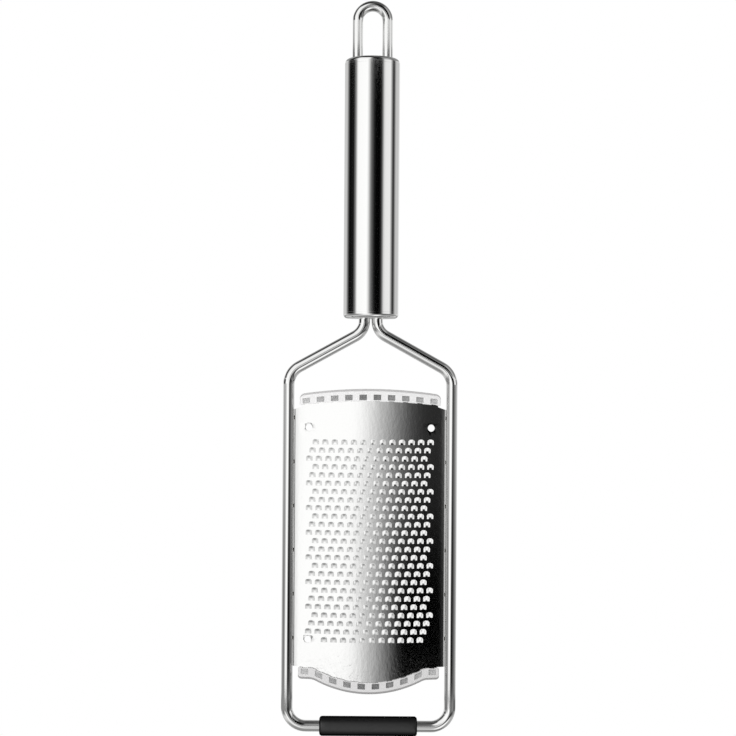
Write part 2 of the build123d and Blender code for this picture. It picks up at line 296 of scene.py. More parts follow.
def lathe(profile, count, axis="Z", closed=True):
    """Turns a profile of (radius, height) pairs round the axis."""
    rings = []
    for radius, height in profile:
        ring = circle(0, 0, radius, count)
        rings.append([(a, b, height) if axis == "Z" else (height, a, b) for a, b in ring])
    along = run_lengths(profile)
    around = 2 * math.pi * max(radius for radius, _ in profile)
    return skin(rings, around, along + along[-1:], closed=closed)


def heading_of(start, end):
    """The direction from one point to another."""
    return math.atan2(end[1] - start[1], end[0] - start[0])


def wire_route(corners, bends, run_step=4.0, turn_step=5.0):
    """Stations (x, z, heading) along straight runs joined by round bends, in the XZ plane."""
    stations = []

    def run(start, end):
        steps = max(1, round(math.dist(start, end) / run_step))
        for x, z in zip(even(start[0], end[0], steps), even(start[1], end[1], steps)):
            stations.append((x, z, heading_of(start, end)))

    here = corners[0]
    for previous, corner, following, bend in zip(corners, corners[1:], corners[2:], bends):
        inward, outward = heading_of(previous, corner), heading_of(corner, following)
        turn = (outward - inward + math.pi) % (2 * math.pi) - math.pi
        cut = bend * math.tan(abs(turn) / 2)
        start = away(corner, inward, -cut)
        run(here, start)
        reach = bend if turn > 0 else -bend
        centre = away(start, inward + math.pi / 2, reach)
        steps = max(2, round(math.degrees(abs(turn)) / turn_step))
        for heading in even(inward, inward + turn, steps)[1:-1]:
            stations.append((*away(centre, heading - math.pi / 2, reach), heading))
        here = away(corner, outward, cut)
    run(here, corners[-1])
    return stations


def bent_wire(stations, radius):
    """A round wire along a route, with both ends eased over."""
    lengths = run_lengths([station[:2] for station in stations])
    rings, along = [], []

    def add_ring(index, size, shift):
        *place, heading = stations[index]
        x, z = away(place, heading, shift)
        ring = circle(0, 0, size, wire_count)
        rings.append([(x + a * math.sin(heading), -b, z - a * math.cos(heading)) for a, b in ring])
        along.append(lengths[index])

    def ease(index, degrees, inward):
        turn = math.radians(degrees)
        size = radius - wire_end_edge + wire_end_edge * math.sin(turn)
        add_ring(index, size, inward * wire_end_edge * (1 - math.cos(turn)))

    for degrees in (0, 30, 60, 90):
        ease(0, degrees, 1)
    for index in range(1, len(stations) - 1):
        add_ring(index, radius, 0.0)
    for degrees in (90, 60, 30, 0):
        ease(-1, degrees, -1)
    return skin(rings, 2 * math.pi * radius, along, caps=True)


def inside(point, loop):
    """Whether a point lies inside a closed loop."""
    x, z = point
    hit = False
    for (x1, z1), (x2, z2) in zip(loop, loop[1:] + loop[:1]):
        if (z1 > z) != (z2 > z) and x < (x2 - x1) * (z - z1) / (z2 - z1) + x1:
            hit = not hit
    return hit


def fill_plate(outline, holes, extra_points=(), extra_runs=()):
    """Triangles of a flat plate with holes, through the given extra points and runs of points."""
    points, edges = [], []

    def add(loop, is_closed):
        base = len(points)
        points.extend(Vector(p) for p in loop)
        last = len(loop) if is_closed else len(loop) - 1
        edges.extend((base + i, base + (i + 1) % len(loop)) for i in range(last))

    for loop in [outline, *holes]:
        add(loop, True)
    for run in extra_runs:
        add(run, False)
    points.extend(Vector(p) for p in extra_points)
    found, _, triangles, _, _, _ = delaunay_2d_cdt(points, edges, [], 0, 1e-5, False)
    kept = []
    for triangle in triangles:
        centre = sum((found[i] for i in triangle), Vector((0, 0))) / 3
        if inside(centre, outline) and not any(inside(centre, hole) for hole in holes):
            a, b, c = (found[i] for i in triangle)
            turn = (b - a).cross(c - a)
            kept.append(tuple(triangle) if turn > 0 else tuple(reversed(triangle)))
    return [tuple(p) for p in found], kept


def joined(points, faces, maps):
    """Merges points that lie together, so that patches share their borders."""
    places, order, remapped = {}, [], []
    for p in points:
        key = tuple(round(c, 4) for c in p)
        if key not in places:
            places[key] = len(order)
            order.append(p)
        remapped.append(places[key])
    kept_faces, kept_maps = [], []
    for face, corners in zip(faces, maps):
        new = tuple(remapped[i] for i in face)
        if len(set(new)) == len(new):
            kept_faces.append(new)
            kept_maps.append(corners)
    return order, kept_faces, kept_maps


# Camera: 0.69 m in front of the wires, level with the middle of the tool, turned by the photo's small lean
camera_place = Vector((-1.05, -690.0, -149.67)) * MM
camera_lean = 0.39
camera_data = bpy.data.cameras.new("camera")
camera_data.lens = 80.4
camera_data.sensor_width = 36.0
camera = new_object("camera", camera_data)
camera.matrix_world = (
    Matrix.Translation(camera_place)
    @ Matrix.Rotation(math.radians(90), 4, "X")
    @ Matrix.Rotation(math.radians(camera_lean), 4, "Z")
)
bpy.context.scene.camera = camera
bpy.context.scene.view_settings.view_transform = "Standard"


# Studio: panels and black flags stand in rings round the tool, and metal shows them as upright bands.
# A stop is an azimuth in degrees, 0 towards the camera and positive to its right, and the sRGB grey that
# polished steel shows there.
steel_tint = "#E6E6E5"
rings = {
    "ceiling": {-180: 0x50, -60: 0x2C, -10: 0x30, 10: 0x48, 60: 0x50, 180: 0x50},
    # Above the panels it is bright to the left, with dark gaps in line with the flags.
    "overhead": {
        -180: 0xA0, -125: 0x80, -108: 0x1C, -92: 0x14, -76: 0xA8, -62: 0xF4, -12: 0xF0, -3: 0x90, 6: 0x28,
        17: 0x0C, 33: 0x0C, 42: 0x48, 54: 0xA0, 75: 0xA8, 100: 0x70, 180: 0xA0,
    },
    "loop": {
        -180: 0xE6, -125: 0xD8, -108: 0x7C, -92: 0x9A, -75: 0xE6, -60: 0xFA, -15: 0xF6, 0: 0xE2, 15: 0xCD,
        35: 0xBE, 50: 0xDC, 80: 0xE0, 95: 0xB4, 108: 0xC8, 125: 0xE6, 180: 0xE6,
    },
    "handle": {
        -180: 0xC5, -129: 0xC4, -120: 0x8C, -112: 0x46, -105: 0x08, -81: 0x1B, -70: 0x88, -65: 0xD6,
        -60: 0xFA, -20: 0xFE, -12: 0xD2, -8: 0xA4, -4: 0x78, 1: 0x54, 10: 0x1C, 17: 0x06, 32: 0x02,
        39: 0x20, 43: 0x54, 48: 0x95, 52: 0xD2, 60: 0xE6, 82: 0xEA, 88: 0xB5, 94: 0x6F, 100: 0x2A,
        107: 0x48, 114: 0x9B, 122: 0xC1, 143: 0xBF, 160: 0xE0, 180: 0xC5,
    },
    # Lower down the white panel ends further right, and the side panels are greyer.
    "blade_top": {
        -180: 0xA8, -160: 0xC0, -140: 0xE0, -95: 0x96, -66: 0xAA, -45: 0xD0, -28: 0xFE, -7: 0xFE,
        -3: 0xF4, 0: 0xE0, 3: 0xC8, 6: 0xB0, 10: 0x90, 13: 0x74, 17: 0x50, 20: 0x3C, 24: 0x2C, 30: 0x28,
        40: 0x60, 62: 0x74, 87: 0xA0, 119: 0xBC, 150: 0xE4, 165: 0xC4, 180: 0xA8,
    },
    "blade_foot": {
        -180: 0x8C, -158: 0xA4, -140: 0xC8, -100: 0x80, -82: 0x70, -62: 0x80, -45: 0xC0, -30: 0xFE,
        -12: 0xFE, -7: 0xF4, -4: 0xDC, 0: 0xB8, 3: 0xA0, 6: 0x7C, 9: 0x58, 12: 0x1E, 15: 0x02, 18: 0x00,
        30: 0x00, 40: 0x34, 61: 0x54, 86: 0x80, 110: 0x94, 145: 0xD0, 162: 0xA8, 180: 0x8C,
    },
    # Grey boards stand between the panels' lower edges and the table.
    "boards": {
        -180: 0x90, -140: 0x80, -112: 0x88, -80: 0x88, -55: 0x8A, 6: 0x88, 14: 0x70, 32: 0x70, 45: 0x84,
        72: 0x7C, 96: 0x40, 112: 0x40, 130: 0x90, 180: 0x90,
    },
    # The table top under the tool: white paper at the right, grey cloth at the left, darker close by.
    "table_far": {
        -180: 0xB0, -30: 0xDC, -10: 0xD8, 0: 0xCC, 8: 0xD4, 14: 0xEC, 18: 0xFC, 40: 0xFC, 60: 0xA8,
        180: 0xB0,
    },
    "table_near": {
        -180: 0xA0, -30: 0x90, -10: 0x96, 0: 0xB0, 8: 0xCC, 14: 0xEC, 18: 0xFC, 38: 0xF8, 55: 0x98,
        180: 0xA0,
    },
}
# From the ceiling down: the light's direction, as its Z, where the ring above starts to fade and where the
# next one is all there is
ring_levels = [
    (0.86, 0.76, "overhead"), (0.36, 0.25, "handle"), (0.245, 0.235, "loop"), (0.1925, 0.19, "handle"),
    (0.03, 0.012, "blade_top"), (-0.02, -0.15, "blade_foot"), (-0.193, -0.198, "boards"),
    (-0.28, -0.33, "blade_foot"), (-0.41, -0.55, "table_far"), (-0.62, -0.78, "table_near"),
    (-0.82, -0.92, "boards"),
]
room_light = 0.55


def build_studio():
    """World light: white to the camera, an even pale room for matt surfaces, and the rings for metal."""
    world = bpy.data.worlds.new("studio")
    bpy.context.scene.world = world
    tree = new_tree(world)
    direction = add_node(tree, "ShaderNodeTexCoord").outputs["Generated"]
    axes = add_node(tree, "ShaderNodeSeparateXYZ", inputs={"Vector": direction})
    towards = add_node(tree, "ShaderNodeMath", {"operation": "MULTIPLY"}, {0: axes.outputs["Y"], 1: -1.0})
    azimuth = add_node(
        tree, "ShaderNodeMath", {"operation": "ARCTAN2"}, {0: axes.outputs["X"], 1: towards.outputs[0]}
    )
    place = remap(tree, azimuth.outputs[0], (-math.pi, math.pi))
    pictures = {}
    for name, ring in rings.items():
        stops = [((turn + 180) / 360, "#" + f"{grey:02X}" * 3) for turn, grey in ring.items()]
        pictures[name] = colour_ramp(tree, place, stops)
    view = pictures["ceiling"]
    for high, low, name in ring_levels:
        share = remap(tree, axes.outputs["Z"], (high, low), kind="SMOOTHSTEP")
        both = add_node(tree, "ShaderNodeMix", {"data_type": "RGBA"}, {
            "Factor": share, "A": view, "B": pictures[name],
        })
        view = both.outputs["Result"]

    def light(colour, strength):
        shader = add_node(tree, "ShaderNodeBackground", inputs={"Color": colour, "Strength": strength})
        return shader.outputs[0]

    white, steel = linear("#FFFFFF"), linear(steel_tint)[0]
    path = add_node(tree, "ShaderNodeLightPath")
    lit = add_node(tree, "ShaderNodeMixShader", inputs={
        "Fac": path.outputs["Is Glossy Ray"], 1: light(white, room_light), 2: light(view, 1 / steel),
    })
    seen = add_node(tree, "ShaderNodeMath", {"operation": "MAXIMUM"}, {
        0: path.outputs["Is Camera Ray"], 1: path.outputs["Is Transmission Ray"],
    })
    shown = add_node(tree, "ShaderNodeMixShader", inputs={
        "Fac": seen.outputs[0], 1: lit.outputs[0], 2: light(white, 1.0),
    })
    add_node(tree, "ShaderNodeOutputWorld", inputs={"Surface": shown.outputs[0]})


def build_key_lamp():
    """A large square lamp that lights matt surfaces and stays out of the metal. Places in metres."""
    place, aim = Vector((-0.35, -1.25, 0.15)), Vector((0.0, 0.0, -0.15))
    data = bpy.data.lights.new("key_lamp", "AREA")
    data.size = 0.8
    data.energy = 8.5
    lamp = new_object("key_lamp", data)
    lamp.location = place
    lamp.rotation_mode = "QUATERNION"
    lamp.rotation_quaternion = (place - aim).to_track_quat("Z", "Y")
    lamp.visible_glossy = False


def build_floor():
    """A plain pale floor well below the hanging tool. It reads white and keeps the tool's shadow."""
    radius, height, glow_strength = 2.4, -0.95, 0.72
    mesh = bpy.data.meshes.new("floor")
    corners = [(*corner, 0) for corner in circle(0, 0, radius, 96)]
    mesh.from_pydata(corners, [], [tuple(range(len(corners)))])
    floor = new_object("floor", mesh)
    floor.location = (0.0, 0.0, height)
    material = bpy.data.materials.new("pale_paper_floor")
    tree = new_tree(material)
    paper = add_node(tree, "ShaderNodeBsdfDiffuse", inputs={"Color": linear("#B4B4B4")})
    glow = add_node(tree, "ShaderNodeEmission", inputs={
        "Color": linear("#FFFFFF"), "Strength": glow_strength,
    })
    bright_paper = add_node(tree, "ShaderNodeAddShader", inputs={0: paper.outputs[0], 1: glow.outputs[0]})
    path = add_node(tree, "ShaderNodeLightPath")
    seen = add_node(tree, "ShaderNodeMixShader", inputs={
        "Fac": path.outputs["Is Camera Ray"], 1: paper.outputs[0], 2: bright_paper.outputs[0],
    })
    add_node(tree, "ShaderNodeOutputMaterial", inputs={"Surface": seen.outputs[0]})
    mesh.materials.append(material)
    floor.visible_glossy = False
    floor.visible_transmission = False
    floor.visible_diffuse = False


build_studio()
build_key_lamp()
build_floor()


# Finishes

def new_material(name, surface):
    """A node material with one Principled shader, whose constant sockets are set here."""
    material = bpy.data.materials.new(name)
    tree = new_tree(material)
    shader = add_node(tree, "ShaderNodeBsdfPrincipled", inputs=surface)
    add_node(tree, "ShaderNodeOutputMaterial", inputs={"Surface": shader.outputs["BSDF"]})
    return material, tree, shader


def object_noise(tree, size, detail=3.0, roughness=0.5, stretch=(1.0, 1.0, 1.0)):
    """Noise with spots of about size millimetres, in the piece's own coordinates."""
    place = add_node(tree, "ShaderNodeTexCoord").outputs["Object"]
    stretched = add_node(tree, "ShaderNodeMapping", inputs={"Vector": place, "Scale": stretch})
    noise = add_node(tree, "ShaderNodeTexNoise", inputs={
        "Vector": stretched.outputs[0], "Scale": 1 / (size * MM), "Detail": detail, "Roughness": roughness,
    })
    return noise.outputs["Fac"]


def add_relief(tree, shader, height, strength, depth, gloss=None):
    """Relief from a noise, its depth in millimetres. The noise may also vary the roughness."""
    if gloss:
        tree.links.new(remap(tree, height, (0.3, 0.7), gloss), shader.inputs["Roughness"])
    relief = add_node(tree, "ShaderNodeBump", inputs={
        "Height": height, "Strength": strength, "Distance": depth * MM,
    })
    tree.links.new(relief.outputs[0], shader.inputs["Normal"])


def polished_steel(name, grain_width, grain_length, roughness, rubbed):
    """Stainless steel, belt polished along its length: a clear mirror with hair-fine lengthwise streaks."""
    material, tree, shader = new_material(name, {
        "Base Color": linear(steel_tint), "Metallic": 1.0, "Roughness": roughness,
    })
    grain = add_node(tree, "ShaderNodeUVMap", {"uv_map": "grain"})
    stretched = add_node(tree, "ShaderNodeMapping", inputs={
        "Vector": grain.outputs[0], "Scale": (1 / grain_width, 1 / grain_length, 1.0),
    })
    streaks = add_node(tree, "ShaderNodeTexNoise", {"noise_dimensions": "2D"}, {
        "Vector": stretched.outputs[0], "Scale": 1.0, "Detail": 3.0, "Roughness": 0.6,
    })
    gloss = (roughness * 0.7, roughness * 1.5)
    add_relief(tree, shader, streaks.outputs["Fac"], strength=rubbed, depth=0.02, gloss=gloss)
    return material


def etched_sheet_steel():
    """Cold-rolled stainless sheet with etched openings: a near mirror, softened by a fine sandy grain."""
    material, tree, shader = new_material("etched_stainless_sheet", {
        "Base Color": linear(steel_tint), "Metallic": 1.0, "Roughness": 0.055,
    })
    # Rolling grain, longer down the blade, drawn about four times as coarse as real so that it shows
    grain = object_noise(tree, size=1.2, roughness=0.6, stretch=(1.0, 1.0, 0.45))
    add_relief(tree, shader, grain, strength=0.9, depth=0.022, gloss=(0.045, 0.065))
    return material


def weld_metal():
    """Bare weld metal: dull, slightly straw-coloured steel with ripples."""
    material, tree, shader = new_material("bare_weld_metal", {
        "Base Color": linear("#C9C6BF"), "Metallic": 1.0, "Roughness": 0.42,
    })
    ripples = object_noise(tree, size=0.5)
    tint = colour_ramp(tree, ripples, [(0.35, "#B9B5AD"), (0.65, "#D6D3CC")])
    tree.links.new(tint, shader.inputs["Base Color"])
    add_relief(tree, shader, ripples, strength=0.5, depth=0.05)
    return material


def frosted_plastic(name, tint, cover=1.0):
    """Clear polypropylene, moulded on a matt tool: milky, soft edged, with a faint orange peel."""
    material, tree, shader = new_material(name, {
        "Base Color": linear(tint), "Roughness": 0.38, "IOR": 1.49, "Alpha": cover,
        "Subsurface Weight": 0.25, "Subsurface Scale": 0.6 * MM, "Subsurface Radius": (1.0, 1.0, 1.0),
    })
    peel = object_noise(tree, size=0.9, detail=2.0)
    add_relief(tree, shader, peel, strength=0.15, depth=0.03, gloss=(0.32, 0.44))
    return material


def window_film():
    """Film left in the guards' windows, with painted shade: greyish in the middle, milky towards the ends.
    """
    material = frosted_plastic("thin_clear_polypropylene", "#CECDCD", cover=0.5)
    tree = material.node_tree
    place = add_node(tree, "ShaderNodeTexCoord").outputs["Object"]
    across = add_node(tree, "ShaderNodeSeparateXYZ", inputs={"Vector": place})
    from_middle = add_node(tree, "ShaderNodeMath", {"operation": "ABSOLUTE"}, {0: across.outputs["X"]})
    way = remap(tree, from_middle.outputs[0], (0.0, 30 * MM))
    # Painted shade: the film is greyer towards the middle of the strip and fades to milky at the ends.
    painted_shade_tint = colour_ramp(tree, way, [(0.1, "#909090"), (0.4, "#B4B4B4"), (0.7, "#D6D6D6"), (0.95, "#EEEEEE")])
    tree.links.new(painted_shade_tint, tree.nodes["Principled BSDF"].inputs["Base Color"])
    return material


def moulded_rubber():
    """Black thermoplastic rubber from a fine-eroded mould: deep black with a broad dull sheen."""
    material, tree, shader = new_material("moulded_black_rubber", {
        "Base Color": linear("#080808"), "Roughness": 0.42, "IOR": 1.5,
    })
    erosion = object_noise(tree, size=0.35, roughness=0.6)
    add_relief(tree, shader, erosion, strength=0.3, depth=0.03, gloss=(0.36, 0.48))
    # Painted sheen: the specular is strongest where the surface faces the viewer and falls away towards its
    # outline, so the flanks stay matt and dark.
    facing = add_node(tree, "ShaderNodeLayerWeight", inputs={"Blend": 0.5})
    facing_sheen = remap(tree, facing.outputs["Facing"], (0.0, 0.45), (1.0, 0.0))
    tree.links.new(facing_sheen, shader.inputs["Specular IOR Level"])
    return material


tube_finish = polished_steel(
    "belt_polished_stainless_tube", grain_width=0.22, grain_length=40.0, roughness=0.04, rubbed=0.04
)
cup_finish = polished_steel(
    "pressed_stainless_cup", grain_width=0.25, grain_length=3.0, roughness=0.045, rubbed=0.04
)
wire_finish = polished_steel(
    "bright_drawn_stainless_wire", grain_width=0.3, grain_length=30.0, roughness=0.055, rubbed=0.05
)
sheet_finish = etched_sheet_steel()
weld_finish = weld_metal()
upper_guard_finish = frosted_plastic("frosted_polypropylene", "#FBFAFA")
# The lower guard is the same plastic as the upper one; its darker tint is painted shade, for the lower strip
# getting less light from above.
lower_guard_painted_shade_finish = frosted_plastic("frosted_polypropylene_lower_painted_shade", "#E6E5E5")
# Painted shade: darker greys for the band along each guard's outer rim, in place of the dark edge of clear
# plastic, darker still on the lower guard.
upper_rim_painted_shade_finish = frosted_plastic("frosted_polypropylene_rim_painted_shade", "#C9C8C8")
lower_rim_painted_shade_finish = frosted_plastic("frosted_polypropylene_lower_rim_painted_shade", "#A9A8A8")
film_finish = window_film()
rubber_finish = moulded_rubber()


# Hanging loop and frame wire

def build_loop():
    """The bright U: a leg up, half a turn over the eye, and a leg down."""
    leg = [(-loop_bend, handle_top_z - loop_tail), (-loop_bend, loop_centre_z)]
    stations = wire_route(leg, [], run_step=3.0)
    for i in range(1, 36):
        turn = math.radians(180 - 5 * i)
        stations.append((*away((0.0, loop_centre_z), turn, loop_bend), turn - math.pi / 2))
    stations += wire_route([(-x, z) for x, z in reversed(leg)], [], run_step=3.0)
    shape = bent_wire(stations, loop_wire / 2)
    place_piece("hanging_loop_wire", *shape, wire_finish, "loop_steel", ["hanging_loop"])


def build_frame():
    """One continuous wire, from the left tail inside the handle round the bottom bar to the right tail."""
    right = [
        (frame_half_span, frame_bar_z), (frame_half_span, shoulder_corner_z),
        (neck_half_spacing, neck_corner_z), (neck_half_spacing, frame_tail_z),
    ]
    left = [(-x, z) for x, z in reversed(right)]
    bends = [neck_bend, shoulder_bend, corner_bend, corner_bend, shoulder_bend, neck_bend]
    shape = bent_wire(wire_route(left + right, bends), frame_wire_size / 2)
    place_piece("bent_frame_wire", *shape, wire_finish, "frame_steel", ["frame_wire"])


build_loop()
build_frame()


# Handle tube and cups

def build_tube():
    """The thin tube between the cups' rims."""
    top, bottom = handle_top_z - cup_rim, handle_bottom_z + cup_rim
    bore = handle_radius - handle_wall
    profile = [
        (handle_radius - seam_ease, bottom), (handle_radius, bottom + seam_ease),
        (handle_radius, bottom + 1.0), (handle_radius, top - 1.0),
        (handle_radius, top - seam_ease), (handle_radius - seam_ease, top),
        (bore + seam_ease, top), (bore, top - seam_ease),
        (bore, bottom + seam_ease), (bore + seam_ease, bottom),
    ]
    shape = lathe(profile, turned_count)
    place_piece("polished_handle_tube", *shape, tube_finish, "handle_steel", ["handle_tube"])


def build_cup(name, openings, node, at_z, way):
    """A pressed cup in one closed mesh, its plate facing up or down. way is 1 or -1."""
    plate_radius = handle_radius - cup_edge
    cavity = cup_spigot_radius - cup_spigot_wall
    spigot_end = -cup_rim - cup_spigot_depth
    points, faces, maps = [], [], []

    def add(new_points, new_faces, new_maps, flipped):
        base = len(points)
        points.extend(new_points)
        for face, corners in zip(new_faces, new_maps):
            face = tuple(i + base for i in face)
            faces.append(face[::-1] if flipped else face)
            maps.append(corners[::-1] if flipped else corners)

    def add_plate(z, outline, loops, flipped, runs=()):
        plate, triangles = fill_plate(outline, loops, extra_runs=runs)
        plate_maps = [tuple(plate[i] for i in triangle) for triangle in triangles]
        add([(x, y, z) for x, y in plate], triangles, plate_maps, flipped)

    profile = edge_arc((plate_radius, -cup_edge), cup_edge, 90, 0, 12)
    profile += [
        (handle_radius, -cup_edge - 0.03), (handle_radius, -cup_rim + seam_ease),
        (handle_radius - seam_ease, -cup_rim), (cup_spigot_radius, -cup_rim),
        (cup_spigot_radius, spigot_end + seam_ease), (cup_spigot_radius - seam_ease, spigot_end),
        (cavity, spigot_end), (cavity, -cup_plate),
    ]
    outside, quads, quad_maps = lathe(profile, turned_count, closed=False)
    add(outside, quads, quad_maps, True)
    # Supporting lines beside the edge and the lips keep the plate's shading flat.
    edge_gap, lip_gap = 0.08, 0.06
    supports = [circle(0, 0, plate_radius - edge_gap, turned_count)]
    supports += [opening(cup_lip + lip_gap) for opening in openings]
    top_ring = [p[:2] for p in outside[:turned_count]]
    lips = [opening(cup_lip) for opening in openings]
    add_plate(0.0, top_ring, lips, False, [support + support[:1] for support in supports])
    low_ring = [p[:2] for p in outside[-turned_count:]]
    add_plate(-cup_plate, low_ring, [opening(0.0) for opening in openings], True)
    # An opening's wall rolls over the lip and runs straight down. The grain map needs its size only roughly.
    wall = edge_arc((cup_lip, -cup_lip), cup_lip, 90, 180, 3) + [(0.0, -cup_plate)]
    wall_round, wall_lengths = 14.0, [0.0, 0.1, 0.2, 0.3, cup_plate]
    for opening in openings:
        levels = [[(x, y, z) for x, y in opening(grown)] for grown, z in wall]
        add(*skin(levels, wall_round, wall_lengths), True)
    points, faces, maps = joined(points, faces, maps)
    points = [(x, way * y, at_z + way * z) for x, y, z in points]
    place_piece(name, points, faces, maps, cup_finish, "cap_steel", [node])


build_tube()
build_cup(
    "top_cup",
    [lambda grow, x=side * loop_bend: circle(x, 0, loop_bore + grow, 40) for side in (-1, 1)],
    "handle_top_cap", handle_top_z, 1,
)
build_cup(
    "bottom_cup",
    [lambda grow: stadium(neck_half_spacing, neck_bore + grow, 24)],
    "handle_bottom_cap", handle_bottom_z, -1,
)


# Blade sheet. Its own coordinate s runs across the sheet: X on the arch, then arc length round each side.

bend_centre_x = blade_half_width - side_bend
bend_centre_y = arch_centre_y - math.sqrt((arch_radius - side_bend) ** 2 - bend_centre_x ** 2)
arch_end_x = bend_centre_x * arch_radius / (arch_radius - side_bend)
arch_end_turn = math.asin(arch_end_x / arch_radius)
bend_length = side_bend * (math.pi / 2 - arch_end_turn)
flange_start = arch_end_x + bend_length
sheet_end = flange_start + flange_back_y - bend_centre_y


def on_sheet(s, z, rise=0.0):
    """The point on the sheet's front at s and z, lifted along the outward normal."""
    side = 1 if s >= 0 else -1
    across = abs(s)
    if across <= arch_end_x:
        turn = math.asin(across / arch_radius)
        x = (arch_radius + rise) * math.sin(turn)
        y = arch_centre_y - (arch_radius + rise) * math.cos(turn)
    elif across <= flange_start:
        turn = arch_end_turn + (across - arch_end_x) / side_bend
        x = bend_centre_x + (side_bend + rise) * math.sin(turn)
        y = bend_centre_y - (side_bend + rise) * math.cos(turn)
    else:
        x = blade_half_width + rise
        y = bend_centre_y + across - flange_start
    return side * x, y, z


def arc_fall(x, radius):
    """How far a circle has fallen away from its crown at x."""
    return radius - math.sqrt(max(radius ** 2 - x ** 2, 0.0))


def upper_inner_z(x):
    """The upper guard's edge towards the teeth."""
    return upper_guard_z - upper_guard_width - arc_fall(x, upper_inner_arc)


def upper_outer_z(x):
    """The upper guard's outer edge."""
    return upper_guard_z - arc_fall(x, upper_outer_arc)


def belly_z(x, level_z):
    """A level edge with a round belly in its middle and soft blends beside it."""
    across, both = abs(x), belly_radius + belly_blend
    blend_x = math.sqrt(both ** 2 - (both - belly_depth) ** 2)
    if across <= blend_x * belly_radius / both:
        return level_z - belly_depth + arc_fall(across, belly_radius)
    return level_z - arc_fall(max(blend_x - across, 0.0), belly_blend)


def climb(slopes, v):
    """Height won from the tooth's foot up to v."""
    height = 0.0
    for (low, low_angle), (high, high_angle) in zip(slopes, slopes[1:]):
        if v > low:
            reached = min(v, high)
            angle = low_angle + (high_angle - low_angle) * (reached - low) / (high - low)
            height += (reached - low) * math.tan(math.radians((low_angle + angle) / 2))
    return height


def tooth_reach(v):
    """Half the tooth's width at a height above the row's middle."""
    if v <= 0:
        return tooth_half_width
    return tooth_half_width * max(1 - (v / tooth_crown) ** tooth_roundness, 0.0) ** (1 / tooth_roundness)


def on_tooth(x, v):
    """Lift and thickness of the sheet in a cell: a tooth climbs, is dished, and thins to its tip."""
    if v <= tooth_foot or abs(x) > tooth_reach(v) + tooth_gap / 2 or v > tooth_crown + tooth_gap / 2:
        return 0.0, sheet_thickness
    side = min(max((abs(x) - dish_inner) / (dish_outer - dish_inner), 0.0), 1.0)
    side = side * side * (3 - 2 * side)
    lift = climb(slopes_at_centre, v) * (1 - side) + climb(slopes_at_side, v) * side
    ground = min((v - tooth_foot) / (tooth_crown - tooth_foot), 1.0)
    return lift, sheet_thickness + (tooth_tip_thickness - sheet_thickness) * ground


def tooth_edge(grow):
    """The arch round a tooth, from its right foot over the crown to its left foot."""
    right = [(tooth_half_width + grow, tooth_foot - tooth_foot * i / 3) for i in range(3)]
    head = []
    for i in range(17):
        turn = math.pi * i / 16
        x = abs(math.cos(turn)) ** (2 / tooth_roundness) * (1 if turn < math.pi / 2 else -1)
        z = math.sin(turn) ** (2 / tooth_roundness)
        head.append((x * (tooth_half_width + grow), z * (tooth_crown + grow)))
    return right + head + [(-x, z) for x, z in reversed(right)]


def tooth_cell():
    """One cell of the sheet with its tooth: points with lift and thickness, and triangles."""
    half_x, half_z = column_pitch / 2, row_pitch / 2
    border = [(-half_x + cell_step * i, -half_z) for i in range(cell_columns)]
    border += [(half_x, -half_z + row_pitch * i / cell_levels) for i in range(cell_levels)]
    border += [(-x, -z) for x, z in border]
    slot = tooth_edge(tooth_gap) + list(reversed(tooth_edge(0.0)))
    columns = [0.0] + [side * x for x in (0.33, 0.65, 0.95) for side in (1, -1)]
    levels = [-0.72, -0.46, -0.2, 0.06, 0.32, 0.6, 0.85, 1.05]
    inner = [(x, v) for v in levels for x in columns if abs(x) < tooth_reach(v + 0.06) - 0.12]
    # The foot's crease, with a line close by on each side that keeps the bend sharp
    gap, short = 0.04, tooth_half_width - 0.03
    creases = []
    for v, reach in ((tooth_foot, tooth_half_width), (tooth_foot - gap, short), (tooth_foot + gap, short)):
        creases.append([(x, v) for x in [-reach, *sorted(columns), reach]])
    points, triangles = fill_plate(border, [slot], extra_points=inner, extra_runs=creases)
    return [(x, z, *on_tooth(x, z)) for x, z in points], triangles


def tooth_centres():
    """The x of every tooth, row by row. Each row stands a third of a column left of the last."""
    widest = (tooth_columns - 1) * column_pitch + (rows_per_stagger - 1) * stagger
    found = []
    for row in range(tooth_rows):
        right_x = widest / 2 - (row % rows_per_stagger) * stagger
        # The last row leaves out both ends.
        columns = range(1, tooth_columns - 1) if row == tooth_rows - 1 else range(tooth_columns)
        found.append([right_x - column * column_pitch for column in columns])
    return found


def row_middle(row):
    """The height of a row's middle."""
    return first_row_z - row * row_pitch


def row_levels(row):
    """The heights of the lines that divide a row."""
    return [row_middle(row) - row_pitch / 2 + row_pitch * i / cell_levels for i in range(cell_levels + 1)]


def side_lines():
    """s values of the lines that run down each side of the sheet, outward from the teeth."""
    outermost = (tooth_columns - 1) * column_pitch / 2 + stagger + column_pitch / 2
    beside_tab = tab_half_width + 1.2
    lines = [outermost, tab_half_width, beside_tab, arch_end_x]
    lines += [arch_end_x + bend_length * i / 7 for i in range(1, 8)]
    lines += even(flange_start, sheet_end, 3)[1:]
    return lines


def locator_hole(x, z):
    """The hole's own edge, and the closed run where its countersink meets the face of the sheet."""
    ring = circle(x, z, locator_radius + locator_sink_width, 28)
    return circle(x, z, locator_radius, 28), ring + ring[:1]


def sunk(found, places):
    """Adds lift and thickness to plate points. They are sunk at the edge of a locator hole."""
    edge_reach = locator_radius + 0.05
    points = []
    for s, z in found:
        drop = 0.0
        if any(math.dist((s, z), place) < edge_reach for place in places):
            drop = left_locator_sink if s < 0 else locator_sink
        points.append((s, z, -drop, sheet_thickness - drop))
    return points


